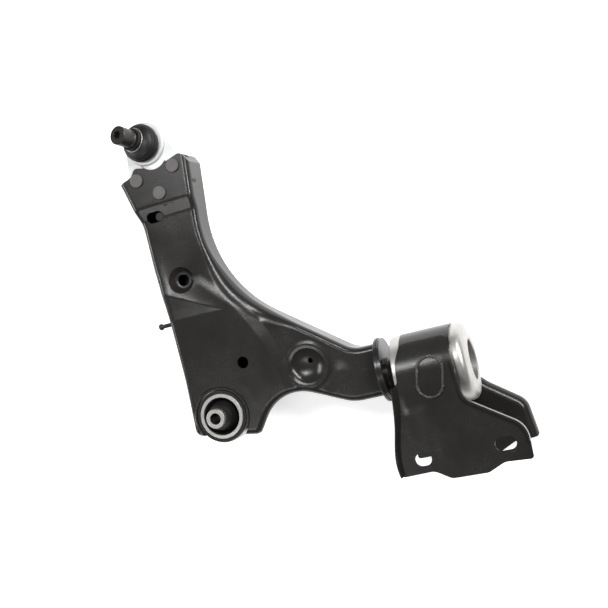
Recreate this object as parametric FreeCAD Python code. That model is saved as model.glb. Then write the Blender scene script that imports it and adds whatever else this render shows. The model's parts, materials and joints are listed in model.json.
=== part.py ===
import FreeCAD, Part
import math
import os

from FreeCAD import Vector

# Front lower control arm, millimetres.
# Origin: centre of the corner bush bore. +Z: along that bore, to the side the ball stud stands on.
# +X: along the rear bush axis, away from the corner bush. +Y: towards the ball joint.

# ---- sheet metal -----------------------------------------------------------------------------
SHEET = 3.0                 # thickness of every pressed sheet
TOP_Z = 17.0                # outside of the arm's top face
RIM_Z = -15.0               # lower edge of the arm's side walls
BEND_R = 7.0                # outside radius where the top face turns into a wall
PAD_RISE = 5.0              # the riveted pad stands this much above the top face
STEP_LOW_Y, STEP_HIGH_Y = 234.0, 248.0     # foot and top of the slope up to the pad
STEP_ROUND = 14.0           # rounding at the head and foot of that slope
FLOOR_TOP_Z = -5.0          # upper side of the closing plate
NEST_GAP = 0.3              # the closing plate sits this far inside the walls

# ---- arm outline -----------------------------------------------------------------------------
LEFT_X = -37.1              # outside of the left wall halfway up
TAIL_END_X = 188.0
TAIL_TOP_Y, TAIL_LOW_Y = 39.5, -16.7
NECK_RADIUS = 139.0         # large inside curve between the two legs of the L
ARCH_CORNER = (72.9, 19.3, 46.7)    # arch between the corner bush and the tail
ARCH_START_Y_PER_X = 1.396  # slope of the arch's side next to the corner bush
ARCH_END_Y_PER_X = -0.4536  # slope of its side next to the tail
ARCH_LEAN = (-0.22, 0.22)   # the walls of the arch lean inward by this much per mm of depth
OPEN_END = 30.0             # how far the uncut outline runs past each open end

# ---- recesses and holes of the arm -----------------------------------------------------------
DISH_AT, DISH_DEPTH, DISH_TOP_R, DISH_FLOOR_R = Vector(-9, 159, 0), 6.0, 15.0, 9.5
DIMPLE_AT, DIMPLE_DEPTH, DIMPLE_BALL_R = Vector(111.5, 33.5, 0), 6.5, 32.0
DIMPLE_HOLE_AT = Vector(114.5, 38, 0)
DISH_HOLE_R, LOWER_HOLE_R, DIMPLE_HOLE_R = 6.6, 6.6, 3.0
LOWER_HOLE_AT = Vector(39.5, 53, 0)
KEYHOLE_AT = Vector(-21.5, 235.5, 0)
KEYHOLE_LENGTH, KEYHOLE_END_R = 21.0, 6.0
PLUG_AT, PLUG_R = Vector(-16.8, 234.8, 0), 5.4
PIN_Y, PIN_Z, PIN_R, PIN_TIP_X = 114.0, 0.0, 2.4, -56.5

# ---- ball joint ------------------------------------------------------------------------------
BALL = Vector(-12.5, 318.0, 12.0)
STUD_DIR = Vector(-10.8, 9.3, 48.0)
STUD_DIR.normalize()
BALL_R = 14.0
STUD_R = 10.5
STUD_LENGTH = 50.0          # ball centre to end face
STUD_CHAMFER = 0.8
RIVETS = (Vector(-31, 280, 0), Vector(16, 285, 0), Vector(-7, 260, 0))
RIVET_HEAD_R, RIVET_SHANK_R, RIVET_HOLE_R = 7.7, 5.0, 5.05
FLANGE_LOW_Z, FLANGE_TOP_Z = 10.0, 19.0
COLLAR_R = 24.5
NECK_R, NECK_TOP = 17.6, 13.0      # boot neck of the housing, height over the ball centre
BOOT_R, BOOT_NECK_R = 21.3, 12.5

# ---- corner bush -----------------------------------------------------------------------------
CORNER_BORE_R = 6.25
CORNER_SLEEVE_R = 10.9
CORNER_HALF_LENGTH = 36.5
CORNER_SHELL_R = 30.0
CORNER_RING_IN_R, CORNER_RING_OUT_R = 20.9, 25.5    # light ring at each end of the rubber
EYE_WALL = 3.0
PRESS_GAP = 0.02            # left between pressed-together parts

# ---- rear bush and its bracket ---------------------------------------------------------------
BUSH_R = 39.5               # outside of the rear bush's steel shell
BUSH_START_X, BUSH_END_X = 207.0, 285.0
SPIGOT_R = 14.0
FLANGE_X = TAIL_END_X
LEG_GAP = 0.1
BACK_SHELL_R = BUSH_R + LEG_GAP + SHEET
FRONT_PLATE_R = BACK_SHELL_R + LEG_GAP + SHEET
LEFT_RING_R = BACK_SHELL_R - 0.2
BAND_START_X, BAND_END_X = 219.0, 271.0
TAIL_DISC_AT, TAIL_DISC_R = Vector(0, 10, 0), 35.0
BOLT_Y, BOLT_LEFT_X, BOLT_SPAN = -86.0, 218.4, 85.6
BOLT_HOLE_R = 7.0
LEFT_SLOT_LENGTH, RIGHT_SLOT_LENGTH = 17.4, 22.0
LIP_HEIGHT, LIP_WIDTH = 3.5, 2.2    # low lip along the front plate's right edge
FLARE_HEIGHT = 7.3          # splayed lip along the front plate's left edge
FLARE_TIP_WIDTH = 1.4       # its cut edge, seen from above
LEG_RUN_OUT_Y = -125.0      # both legs are made down to here, then cut to their outlines
ROLL_R, ROLL_DEPTH = 9.0, 8.0       # rolled right edge of the back leg
ROLL_TOP, ROLL_SHOULDER = (288.2, -31, 25), (324.8, -58.5, 20)
ROLL_FOOT = (329.0, -99, 3)
WELD_AT, WELD_TURN_DEG = Vector(245.5, -5, 0), -12.5        # oval weld on the front plate

X_AXIS, Z_AXIS = Vector(1, 0, 0), Vector(0, 0, 1)
ORIGIN = Vector(0, 0, 0)
EVERYTHING = 400.0


# ---- shared shapes ---------------------------------------------------------------------------
def rounded_outline(corners):
    """Closed XY wire through (x, y, radius) corners, each rounded by a tangent arc."""
    edges = []
    ends = []
    count = len(corners)
    for index in range(count):
        before = Vector(*corners[index - 1][:2], 0)
        corner = Vector(*corners[index][:2], 0)
        after = Vector(*corners[(index + 1) % count][:2], 0)
        radius = corners[index][2]
        if radius == 0:
            ends.append((corner, corner))
            continue
        to_before = (before - corner).normalize()
        to_after = (after - corner).normalize()
        half = to_before.getAngle(to_after) / 2
        reach = radius / math.tan(half)
        middle_dir = (to_before + to_after).normalize()
        start = corner + to_before * reach
        end = corner + to_after * reach
        middle = corner + middle_dir * (radius / math.sin(half) - radius)
        edges.append(Part.Arc(start, middle, end).toShape())
        ends.append((start, end))
    for index in range(count):
        start, end = ends[index][1], ends[(index + 1) % count][0]
        if (end - start).Length > 1e-6:
            edges.append(Part.LineSegment(start, end).toShape())
    return Part.Wire(Part.__sortEdges__(edges))


def prism(wire, low_z, high_z):
    """Solid between two heights over a closed XY wire."""
    face = Part.Face(wire)
    face.translate(Vector(0, 0, low_z))
    return face.extrude(Vector(0, 0, high_z - low_z))


def disc(radius, low, high, centre=ORIGIN, axis=Z_AXIS, bore=0.0):
    """Cylinder or tube between two distances along an axis from centre."""
    axis = Vector(axis)
    shape = Part.makeCylinder(radius, high - low, centre + axis * low, axis)
    if bore:
        shape = shape.cut(Part.makeCylinder(bore, high - low + 2, centre + axis * (low - 1), axis))
    return shape


def turned(profile, centre=ORIGIN, axis=Z_AXIS):
    """Solid of revolution from (radius, distance along axis) points."""
    points = [Vector(radius, 0, along) for radius, along in profile]
    face = Part.Face(Part.makePolygon(points + points[:1]))
    solid = face.revolve(ORIGIN, Z_AXIS, 360)
    return placed(solid, centre, axis)


def placed(shape, centre, axis):
    """Shape made about the Z axis, moved so that Z runs along axis from centre."""
    turn = FreeCAD.Rotation(Z_AXIS, Vector(axis))
    shape = shape.copy()
    shape.Placement = FreeCAD.Placement(centre, turn).multiply(shape.Placement)
    return shape


def placed_by(shape, turn):
    """Shape turned about the origin."""
    shape = shape.copy()
    shape.Placement = FreeCAD.Placement(ORIGIN, turn).multiply(shape.Placement)
    return shape


def rounded(shape, radius, wanted):
    """Fillet of the edges that wanted(edge) picks."""
    return shape.makeFillet(radius, [edge for edge in shape.Edges if wanted(edge)])


def slot(length, radius, centre, low_z, high_z):
    """Upright stadium-shaped cutter, its length along X."""
    shift = length / 2 - radius
    wire = rounded_outline([
        (centre.x - shift - radius, centre.y - radius, radius * 0.999),
        (centre.x + shift + radius, centre.y - radius, radius * 0.999),
        (centre.x + shift + radius, centre.y + radius, radius * 0.999),
        (centre.x - shift - radius, centre.y + radius, radius * 0.999),
    ])
    return prism(wire, low_z, high_z)


# ---- arm shells ------------------------------------------------------------------------------
def arm_outline():
    """L-shaped plan of the arm, run on past both open ends."""
    return rounded_outline([
        (-38, -16.7, 9),                                    # lobe left of the corner bush
        (-35.4, 50, 400),
        (-37.2, 125, 400),
        (-40.6, 178, 150),
        (-41, 229, 60),
        (-54.2 - OPEN_END * 0.254, 281 + OPEN_END, 0),      # ball joint end, left
        (33.9 + OPEN_END * 0.101, 285 + OPEN_END, 0),       # ball joint end, right
        (20.2, 148.7, NECK_RADIUS),
        (164.5, TAIL_TOP_Y, 30),
        (TAIL_END_X + OPEN_END, TAIL_TOP_Y, 0),
        (TAIL_END_X + OPEN_END, TAIL_LOW_Y, 0),
        (152.2, TAIL_LOW_Y, 50),
        ARCH_CORNER,
        (38.3, -29, 9),                                     # lobe right of the corner bush
    ])


def arch_wedge(inset):
    """Leaning cutter under the top bend, so that the arch's walls slope inward as they go down."""
    corner_x, corner_y = ARCH_CORNER[:2]
    drop = 80
    wire = rounded_outline([
        (corner_x - drop / ARCH_START_Y_PER_X, corner_y - drop, 0),
        ARCH_CORNER,
        (corner_x - drop / ARCH_END_Y_PER_X, corner_y - drop, 0),
    ])
    if inset:
        wire = wire.makeOffset2D(inset)
    face = Part.Face(wire)
    face.translate(Vector(0, 0, TOP_Z - BEND_R))
    depth = TOP_Z - BEND_R - RIM_Z + 6
    return face.extrude(Vector(ARCH_LEAN[0] * depth, ARCH_LEAN[1] * depth, -depth))


def height_profile(low_z, top_z, step_rise):
    """YZ region under the pressed top surface, swept along X, its step softly rounded."""
    wire = rounded_outline([
        (-EVERYTHING, low_z, 0),
        (EVERYTHING, low_z, 0),
        (EVERYTHING, top_z + step_rise, 0),
        (STEP_HIGH_Y, top_z + step_rise, STEP_ROUND),
        (STEP_LOW_Y, top_z, STEP_ROUND),
        (-EVERYTHING, top_z, 0),
    ])
    sweep = prism(wire, -EVERYTHING, EVERYTHING)
    return placed_by(sweep, FreeCAD.Rotation(Vector(1, 1, 1), 120))


def pressed_block(inset, low_z, top_z, step_rise, bend):
    """Solid block with the arm's plan, stepped top and rounded top edges."""
    wire = arm_outline()
    if inset:
        wire = wire.makeOffset2D(-inset)
    block = prism(wire, low_z, top_z + step_rise + 1)
    block = block.common(height_profile(low_z - 1, top_z, step_rise))
    far_x = TAIL_END_X + OPEN_END - inset - 0.5
    far_y = 281 + OPEN_END - inset - 2

    def top_edge(edge):
        middle = edge.valueAt((edge.FirstParameter + edge.LastParameter) / 2)
        inside = middle.x < far_x and middle.y < far_y
        tall = edge.BoundBox.ZLength > PAD_RISE + 1
        level = edge.BoundBox.ZMin > top_z - 0.01
        across = abs(middle.x) < 20 and edge.BoundBox.YLength < 0.01 and middle.y > 200
        return level and inside and not tall and not across

    return rounded(block, bend, top_edge).cut(arch_wedge(inset))


def end_trim():
    """Region kept at both open ends: square tail, notched end under the ball joint."""
    wire = rounded_outline([
        (-90, -60, 0),
        (-90, 265, 0),
        (-53, 281, 4),
        (-37, 286, 3),
        (-30.5, 294.5, 5),
        (-19.5, 291.5, 4),
        (-8.5, 275.5, 19),                                  # round notch below the housing
        (5.5, 291, 4),
        (28.5, 297.5, 6),
        (34.5, 284, 3),
        (60, 284, 0),
        (TAIL_END_X, 150, 0),
        (TAIL_END_X, -60, 0),
    ])
    return prism(wire, RIM_Z - 5, TOP_Z + 20)


def dish(centre, top_r, floor_r, depth, top_z):
    """Round pressed recess: a cone with a flat floor, opening upward at top_z."""
    return Part.makeCone(floor_r, top_r, depth, centre + Vector(0, 0, top_z - depth))


def dimple(centre, ball_r, depth, top_z):
    """Shallow spherical recess."""
    return Part.makeSphere(ball_r, centre + Vector(0, 0, top_z - depth + ball_r))


def upper_shell():
    """Top pressing: face, raised pad, side walls, recesses and holes."""
    outside = pressed_block(0, RIM_Z, TOP_Z, PAD_RISE, BEND_R)
    inside = pressed_block(SHEET, RIM_Z - 5, TOP_Z - SHEET, PAD_RISE, BEND_R - SHEET)
    lower_top = TOP_Z - SHEET
    outside = outside.cut(dish(DISH_AT, DISH_TOP_R, DISH_FLOOR_R, DISH_DEPTH, TOP_Z))
    inside = inside.cut(dish(DISH_AT, DISH_TOP_R + SHEET, DISH_FLOOR_R + SHEET, DISH_DEPTH, lower_top))
    outside = outside.cut(dimple(DIMPLE_AT, DIMPLE_BALL_R, DIMPLE_DEPTH, TOP_Z))
    inside = inside.cut(dimple(DIMPLE_AT, DIMPLE_BALL_R + SHEET, DIMPLE_DEPTH + SHEET, TOP_Z))
    shell = outside.cut(inside).common(end_trim())
    shell = shell.cut(disc(CORNER_SHELL_R + EYE_WALL + NEST_GAP, RIM_Z - 5, TOP_Z + 5))
    shell = shell.cut(disc(DISH_HOLE_R, 0, 30, DISH_AT))
    shell = shell.cut(disc(LOWER_HOLE_R, 0, 30, LOWER_HOLE_AT))
    shell = shell.cut(disc(DIMPLE_HOLE_R, 0, 30, DIMPLE_HOLE_AT))
    shell = shell.cut(slot(KEYHOLE_LENGTH, KEYHOLE_END_R, KEYHOLE_AT, 0, 30))
    shell = shell.cut(disc(PLUG_R + NEST_GAP, 0, 30, PLUG_AT))
    shell = shell.cut(disc(PIN_R + PRESS_GAP, LEFT_X - 8, 0, Vector(0, PIN_Y, PIN_Z), X_AXIS))
    for rivet in RIVETS:
        shell = shell.cut(disc(RIVET_HOLE_R, 0, 30, rivet))
    return shell


def lower_shell():
    """Closing plate nested between the walls, its rim turned down, carrying the lower pad."""
    inset = SHEET + NEST_GAP
    rise = FLANGE_LOW_Z - FLOOR_TOP_Z
    outside = pressed_block(inset, RIM_Z + 1, FLOOR_TOP_Z, rise, SHEET + 1.0)
    inside = pressed_block(inset + SHEET, RIM_Z - 5, FLOOR_TOP_Z - SHEET, rise, 1.0)
    shell = outside.cut(inside).common(end_trim())
    shell = shell.cut(disc(CORNER_SHELL_R + EYE_WALL + NEST_GAP, RIM_Z - 5, TOP_Z + 5))
    for rivet in RIVETS:
        shell = shell.cut(disc(RIVET_HOLE_R, -10, 30, rivet))
    return shell


def keyhole_plug():
    """Painted plug standing in the keyhole's round end."""
    low_z, high_z = FLOOR_TOP_Z + 7, TOP_Z - 1.2
    return turned([(0, low_z), (PLUG_R - 1, low_z), (PLUG_R, TOP_Z - 4), (PLUG_R, high_z - 0.6),
                   (PLUG_R - 0.6, high_z), (0, high_z)], PLUG_AT)


def locating_pin():
    """Small headed pin through the left wall."""
    wall_in, wall_out, tip = -LEFT_X - SHEET, -LEFT_X + 0.2, -PIN_TIP_X
    collar_r, head_r = PIN_R + 1.7, PIN_R + 1.3
    return turned([(0, wall_in), (PIN_R, wall_in), (PIN_R, wall_out), (collar_r, wall_out),
                   (collar_r, wall_out + 3), (PIN_R, wall_out + 3.5), (PIN_R, tip - 4.7),
                   (head_r, tip - 3.2), (head_r, tip - 1), (head_r - 0.9, tip), (0, tip)],
                  Vector(0, PIN_Y, PIN_Z), Vector(-1, 0, 0))


# ---- corner bush -----------------------------------------------------------------------------
def corner_eye():
    """Open-bottomed collar that the shells are welded to and the bush is pressed into."""
    inner_r, outer_r = CORNER_SHELL_R + PRESS_GAP, CORNER_SHELL_R + EYE_WALL
    ring = turned([(inner_r, RIM_Z), (outer_r, RIM_Z), (outer_r, TOP_Z), (outer_r - 1, TOP_Z + 1.2),
                   (inner_r, TOP_Z + 1.2)])
    gap = rounded_outline([(0, 0, 0), (60, -44, 0), (0, -90, 0), (-60, -33, 0)])
    return ring.cut(prism(gap, RIM_Z - 5, TOP_Z + 5))


def corner_outer_sleeve():
    """Steel tube round the rubber, drawn in at its lower end."""
    return turned([(27.5, -14.5), (28.1, -14.5), (CORNER_SHELL_R, -8), (CORNER_SHELL_R, 14.5),
                   (27.5, 14.5)])


def corner_end_rings():
    """Light steel ring moulded into each end of the corner bush."""
    inner_r, outer_r = CORNER_RING_IN_R, CORNER_RING_OUT_R
    top = turned([(inner_r, 15.6), (outer_r, 15.6), (outer_r, 17.8), (outer_r - 0.6, 18.4),
                  (inner_r + 0.6, 18.4), (inner_r, 17.8)])
    return Part.makeCompound([top, top.mirror(ORIGIN, Z_AXIS)])


def corner_rubber():
    """Rubber body with a moat round the inner sleeve at each end."""
    bore = CORNER_SLEEVE_R + 0.05
    inner_r, outer_r = CORNER_RING_IN_R - 0.1, CORNER_RING_OUT_R + 0.1
    half = [(bore, 30.5), (bore + 1.4, 30.5), (bore + 2.6, 27), (16.2, 15), (18.5, 9), (inner_r, 14.5),
            (inner_r, 15.5), (outer_r, 15.5), (outer_r, 17.2), (outer_r + 0.6, 17.8), (29.0, 17.8),
            (29.4, 16.5), (29.4, 14.6), (27.4, 14.6)]
    lower = [(radius, -along) for radius, along in reversed(half)]
    return turned(half + lower)


def corner_inner_sleeve():
    """Thick tube that the body bolt goes through, its ends chamfered."""
    end, chamfer = CORNER_HALF_LENGTH, 0.8
    return turned([(CORNER_BORE_R, -end), (CORNER_SLEEVE_R - chamfer, -end),
                   (CORNER_SLEEVE_R, -end + chamfer), (CORNER_SLEEVE_R, end - chamfer),
                   (CORNER_SLEEVE_R - chamfer, end), (CORNER_BORE_R, end)])


# ---- ball joint ------------------------------------------------------------------------------
def hull_of_circles(circles, low_z, high_z):
    """Plate covering each neighbouring pair of (centre, radius) circles in turn."""
    plate = None
    for first, first_r in circles:
        for second, second_r in circles:
            if (second - first).Length < 1:
                continue
            along = second - first
            lean = math.asin((first_r - second_r) / along.Length)
            heading = math.atan2(along.y, along.x)
            points = []
            for side in (1, -1):
                angle = heading + side * (math.pi / 2 - lean)
                normal = Vector(math.cos(angle), math.sin(angle), 0)
                pair = [first + normal * first_r, second + normal * second_r]
                points += pair if side == 1 else pair[::-1]
            strip = prism(Part.makePolygon(points + points[:1]), low_z, high_z)
            plate = strip if plate is None else plate.fuse(strip)
    for centre, radius in circles:
        plate = plate.fuse(disc(radius, low_z, high_z, centre))
    return plate


def ball_housing():
    """Forged cup with boot neck and a three-rivet flange clamped between the pads."""
    cup_x, cup_y = BALL.x, BALL.y
    centre = Vector(cup_x, cup_y, 0)
    ears = [(Vector(rivet.x, rivet.y, 0), 10.5) for rivet in RIVETS]
    plate = hull_of_circles([(centre, COLLAR_R - 0.5)] + ears, FLANGE_LOW_Z + 0.1,
                            FLANGE_TOP_Z - 0.1)
    cup = turned([(0, -19), (21, -19), (22.5, -17), (22.5, -5), (COLLAR_R, -2), (COLLAR_R, 8.5),
                  (COLLAR_R - 1.5, 10), (NECK_R + 2.2, 10), (NECK_R, 10.5), (NECK_R, NECK_TOP),
                  (0, NECK_TOP)], BALL)
    body = plate.fuse(cup)
    hollow = turned([(0, -20), (19.05, -20), (19.05, -14.5), (17.55, -14.5), (17.55, 7.1),
                     (13.6, 7.1), (15.9, NECK_TOP + 1), (0, NECK_TOP + 1)], BALL)
    body = body.cut(hollow)
    for rivet in RIVETS:
        body = body.cut(disc(RIVET_HOLE_R, 0, 30, rivet))
    return body.removeSplitter()


def ball_seat():
    """Plastic liner that the ball turns in."""
    liner = turned([(0, -14.4), (17.5, -14.4), (17.5, 7.0), (0, 7.0)], BALL)
    return liner.cut(Part.makeSphere(BALL_R + 0.05, BALL))


def end_cover():
    """Disc crimped into the bottom of the housing."""
    return turned([(0, -17.2), (15, -17.2), (16, -18), (19, -18), (19, -14.5), (0, -14.5)], BALL)


def rivets():
    """Three flat-headed rivets through pad, flange and lower pad, as separate solids."""
    head_z = TOP_Z + PAD_RISE
    tail_z = FLANGE_LOW_Z - SHEET
    shapes = []
    for rivet in RIVETS:
        shapes.append(turned([
            (0, tail_z - 3), (6.2, tail_z - 3), (7.2, tail_z - 2), (7.2, tail_z),
            (RIVET_SHANK_R, tail_z), (RIVET_SHANK_R, head_z), (RIVET_HEAD_R, head_z),
            (RIVET_HEAD_R, head_z + 2), (RIVET_HEAD_R - 0.7, head_z + 2.7), (0, head_z + 2.7)],
            rivet))
    return Part.makeCompound(shapes)


def ball_stud():
    """Ball, neck and pinch-grooved pin with a six-lobed drive socket in its end."""
    pin = turned([
        (0, 8), (7, 8), (7, 19), (STUD_R, 22.0), (STUD_R, 31), (9.2, 32.3), (9.2, 35.7),
        (STUD_R, 37), (STUD_R, STUD_LENGTH - STUD_CHAMFER), (STUD_R - STUD_CHAMFER, STUD_LENGTH),
        (0, STUD_LENGTH)])
    ball = Part.makeSphere(BALL_R).cut(disc(12, -16, -12.5))
    socket = disc(3.9, STUD_LENGTH - 6, STUD_LENGTH + 1)
    for lobe in range(6):
        angle = math.radians(60 * lobe)
        place = Vector(3.9 * math.cos(angle), 3.9 * math.sin(angle), 0)
        socket = socket.fuse(disc(1.3, STUD_LENGTH - 6, STUD_LENGTH + 1, place))
    stud = ball.fuse(pin).cut(socket)
    return placed(stud, BALL, STUD_DIR)


def boot_sections(rings):
    """Circles from (radius, height) rings: a cuff square to the housing, then a lean to the stud."""
    wires = []
    cuff_top, highest = rings[1][1], rings[-1][1]
    for radius, along in rings:
        share = max(0, along - cuff_top) / (highest - cuff_top)
        normal = (Z_AXIS * (1 - share) + STUD_DIR * share).normalize()
        centre = BALL + Z_AXIS * (along * (1 - share)) + STUD_DIR * (along * share)
        wires.append(Part.Wire(Part.makeCircle(radius, centre, normal)))
    return wires


def ball_boot():
    """Squat rubber dome from the housing neck to a short neck gripping the stud."""
    outside = Part.makeLoft(boot_sections([
        (19.3, 10.7), (19.2, 12.4), (BOOT_R, 15), (BOOT_R - 0.6, 18), (17.6, 20.7), (13.2, 22.6)]), True)
    inside = Part.makeLoft(boot_sections([
        (NECK_R + 0.4, 10.7), (NECK_R + 0.5, 12.4), (19.2, 15), (18.5, 17.4), (15.4, 19.8),
        (10.9, 21.2)]), True)
    neck = disc(BOOT_NECK_R, 21.2, 29, BALL, STUD_DIR)
    bore = disc(STUD_R + 0.05, 20, 30, BALL, STUD_DIR)
    return outside.fuse(neck).cut(inside).cut(bore).removeSplitter()


def ring_on(axis, along, ring_r, wire_r):
    """Round wire clip about an axis through the ball centre."""
    return placed(Part.makeTorus(ring_r, wire_r, Vector(0, 0, along)), BALL, axis)


def boot_lower_clip():
    return ring_on(Z_AXIS, 11.5, 20.1, 0.7)


def boot_upper_clip():
    return ring_on(STUD_DIR, 24, BOOT_NECK_R + 0.6, 0.5)


# ---- tail, rear bush and bracket -------------------------------------------------------------
def tail_flange():
    """Disc welded across the open tail."""
    plate = disc(TAIL_DISC_R, FLANGE_X, FLANGE_X + 3.4, TAIL_DISC_AT, X_AXIS)
    return rounded(plate, 1.2, lambda edge: abs(edge.BoundBox.XMin - FLANGE_X) < 0.01
                   and edge.BoundBox.XLength < 0.01)


def rear_spigot():
    """Second disc with the pin that carries the rear bush."""
    plate = disc(TAIL_DISC_R - 1, FLANGE_X + 3.4, FLANGE_X + 7, TAIL_DISC_AT, X_AXIS)
    pin = turned([(0, FLANGE_X + 5), (22, FLANGE_X + 5), (22, FLANGE_X + 10),
                  (20, FLANGE_X + 14), (20, BUSH_START_X + 3), (SPIGOT_R, BUSH_START_X + 3),
                  (SPIGOT_R, 274.5), (SPIGOT_R - 1.5, 276), (0, 276)], ORIGIN, X_AXIS)
    return plate.fuse(pin)


def rear_inner_sleeve():
    start_x, end_x = BUSH_START_X + 3 + PRESS_GAP, 273
    return disc(17.5, start_x, end_x, ORIGIN, X_AXIS, bore=SPIGOT_R + PRESS_GAP)


def rear_rubber():
    """Rubber body with a moulded groove at each end."""
    return turned([(17.55, 213), (20, 213), (24, 222), (31, 222), (34, 215), (37.4, 215),
                   (37.4, 272), (34, 272), (31, 264), (24, 264), (20, 271), (17.55, 271)],
                  ORIGIN, X_AXIS)


def rear_outer_shell():
    return disc(BUSH_R, 212, 273, ORIGIN, X_AXIS, bore=37.5)


def rear_left_ring():
    """Turned-out lip at the arm's side of the rear bush."""
    return turned([(34, BUSH_START_X), (LEFT_RING_R - 0.9, BUSH_START_X),
                   (LEFT_RING_R, BUSH_START_X + 0.9), (LEFT_RING_R, 218.6),
                   (BUSH_R + 0.05, 218.6), (BUSH_R + 0.05, 211.9), (34, 211.9)], ORIGIN, X_AXIS)


def rear_end_cap():
    """Domed ring rolled over the far end of the rear bush."""
    outer_r, hole_r, wall = 41.6, 21.8, 2.4
    start_x, roll = BAND_END_X + 0.4, 8.0
    face_x = BUSH_END_X
    points = [Vector(outer_r - wall, 0, start_x + 2), Vector(outer_r, 0, start_x + 2),
              Vector(outer_r, 0, face_x - roll)]
    middle = math.sqrt(0.5)
    outer_arc = Part.Arc(points[-1], Vector(outer_r - roll + roll * middle, 0,
                                            face_x - roll + roll * middle),
                         Vector(outer_r - roll, 0, face_x))
    inner_roll = roll - wall
    inner_arc = Part.Arc(Vector(outer_r - roll, 0, face_x - wall),
                         Vector(outer_r - roll + inner_roll * middle, 0,
                                face_x - roll + inner_roll * middle),
                         Vector(outer_r - wall, 0, face_x - roll))
    lip_x = face_x - 6
    edges = [
        Part.LineSegment(points[0], points[1]), Part.LineSegment(points[1], points[2]), outer_arc,
        Part.LineSegment(Vector(outer_r - roll, 0, face_x), Vector(hole_r + 1, 0, face_x + 1)),
        Part.LineSegment(Vector(hole_r + 1, 0, face_x + 1), Vector(hole_r, 0, face_x)),
        Part.LineSegment(Vector(hole_r, 0, face_x), Vector(hole_r, 0, lip_x)),
        Part.LineSegment(Vector(hole_r, 0, lip_x), Vector(hole_r + wall, 0, lip_x)),
        Part.LineSegment(Vector(hole_r + wall, 0, lip_x), Vector(hole_r + wall, 0, face_x - wall)),
        Part.LineSegment(Vector(hole_r + wall, 0, face_x - wall),
                         Vector(outer_r - roll, 0, face_x - wall)),
        inner_arc,
        Part.LineSegment(Vector(outer_r - wall, 0, face_x - roll), points[0]),
    ]
    face = Part.Face(Part.Wire(Part.__sortEdges__([edge.toShape() for edge in edges])))
    return placed(face.revolve(ORIGIN, Z_AXIS, 360), ORIGIN, X_AXIS)


def wrap_section(inner_r, start_deg, end_deg, thickness):
    """YZ section of a strap: an arc about the rear bush, then a straight leg downward.

    Angles run from +Z (0) over +Y (90) to -Z (180)."""
    outer_r = inner_r + thickness

    def point(radius, degrees):
        angle = math.radians(degrees)
        return Vector(0, radius * math.sin(angle), radius * math.cos(angle))

    middle = (start_deg + end_deg) / 2
    leg_deg = 180 if end_deg == 180 else 0
    side = -1 if leg_deg == 180 else 1
    free_deg = start_deg if leg_deg == 180 else end_deg
    outer_foot = Vector(0, LEG_RUN_OUT_Y, side * outer_r)
    inner_foot = Vector(0, LEG_RUN_OUT_Y, side * inner_r)
    edges = [
        Part.Arc(point(outer_r, start_deg), point(outer_r, middle), point(outer_r, end_deg)),
        Part.Arc(point(inner_r, start_deg), point(inner_r, middle), point(inner_r, end_deg)),
        Part.LineSegment(point(outer_r, free_deg), point(inner_r, free_deg)),
        Part.LineSegment(point(outer_r, leg_deg), outer_foot),
        Part.LineSegment(outer_foot, inner_foot),
        Part.LineSegment(inner_foot, point(inner_r, leg_deg)),
    ]
    return Part.Face(Part.Wire(Part.__sortEdges__([edge.toShape() for edge in edges])))


def strap(inner_r, start_deg, end_deg, thickness):
    """Strap wide enough along X for any outline of the bracket."""
    section = wrap_section(inner_r, start_deg, end_deg, thickness)
    section.translate(Vector(TAIL_END_X, 0, 0))
    return section.extrude(Vector(EVERYTHING / 2, 0, 0))


def bolt_slot(index, length, low_z, high_z):
    centre = Vector(BOLT_LEFT_X + index * BOLT_SPAN, BOLT_Y, 0)
    if length:
        return slot(length, BOLT_HOLE_R, centre, low_z, high_z)
    return disc(BOLT_HOLE_R, low_z, high_z, centre)


def front_outline():
    """Plan of the front plate: narrow over the bush, flaring to the two bolt holes."""
    return rounded_outline([
        (219.5, 34, 8),
        (269.5, 34, 8),
        (273.8, -33, 16),
        (329.3, -71.3, 24),
        (328, -106, 3),
        (299, -104, 12),
        (281, -111.5, 12),
        (243, -110.5, 12),
        (227, -100, 14),
        (192.5, -100.5, 3),
        (194, -72, 30),
        (206, -26, 25),
        (207, -7, 3),
        (210.5, -4, 3),
        (212.5, 17, 30),
    ])


def back_outline():
    """Plan of the back shell: a band round the bush, flaring to the two bolt holes."""
    return rounded_outline([
        (BAND_START_X, 60, 7),
        (BAND_END_X, 60, 7),
        (BAND_END_X, -13, 4),
        ROLL_TOP,
        ROLL_SHOULDER,
        ROLL_FOOT,
        (302, -99.5, 8),
        (286, -107, 8),
        (243, -107, 10),
        (228, -98, 12),
        (194, -98, 3),
        (193, -78, 25),
        (BAND_START_X - 4, -5, 30),
    ])


def bracket_front_plate():
    """Outer strap on the stud side, welded over the back shell, with two bolt slots."""
    plate = strap(BACK_SHELL_R + LEG_GAP, 0, 52, SHEET)
    plate = plate.common(prism(front_outline(), 0, 60))
    plate = plate.fuse(front_right_lip()).fuse(front_left_flare())
    plate = plate.cut(bolt_slot(0, LEFT_SLOT_LENGTH, 0, 60))
    return plate.cut(bolt_slot(1, RIGHT_SLOT_LENGTH, 0, 60))


def front_right_lip():
    """Low lip standing along the front plate's right edge, from the bush down to the bolt hole."""
    wire = front_outline()
    edge = prism(wire, 0, 70).cut(prism(wire.makeOffset2D(-LIP_WIDTH), -1, 71))
    raised = strap(FRONT_PLATE_R - 0.5, 0, 15, LIP_HEIGHT + 0.5)
    reach = Part.makeBox(80, 98, 80, Vector(262, -88, 0))
    return edge.common(raised).common(reach)


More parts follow.
